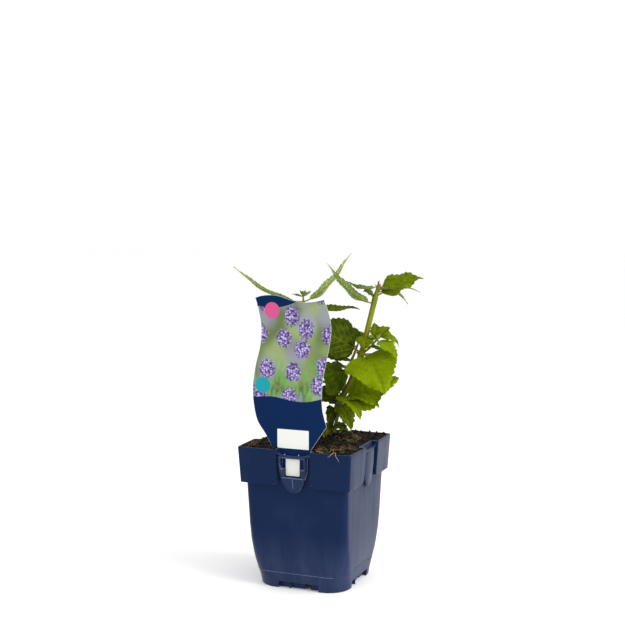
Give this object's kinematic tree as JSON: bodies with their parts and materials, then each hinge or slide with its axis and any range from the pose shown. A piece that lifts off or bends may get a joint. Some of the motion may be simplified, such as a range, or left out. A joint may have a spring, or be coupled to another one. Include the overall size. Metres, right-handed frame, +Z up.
{
  "type": "potted giant hyssop plant",
  "caption": "Young giant hyssop with toothed leaves on upright stems, growing in a square nursery pot of soil with a picture label held in the pot's front clip.",
  "frame": {"origin": "on the ground under the middle of the pot, on the flat middle disc of its underside", "axes": "+Z up, the pot's front face with the label looks towards -Y, +X to the right along that face"},
  "size_m": [0.1625, 0.1201, 0.3074],
  "materials": {
    "pot_plastic": "navy moulded plastic with a soft sheen",
    "soil": "moist dark peat with tan fibres",
    "label_card": "printed plastic card",
    "leaf": "fresh green leaf, slightly glossy"
  },
  "bodies": {
    "root": {"pot": "pot_plastic", "soil": "soil", "label": "label_card", "leafy_stem_tall": "leaf", "leafy_stem_back": "leaf", "leafy_stem_by_label": "leaf"}
  },
  "joints": []
}
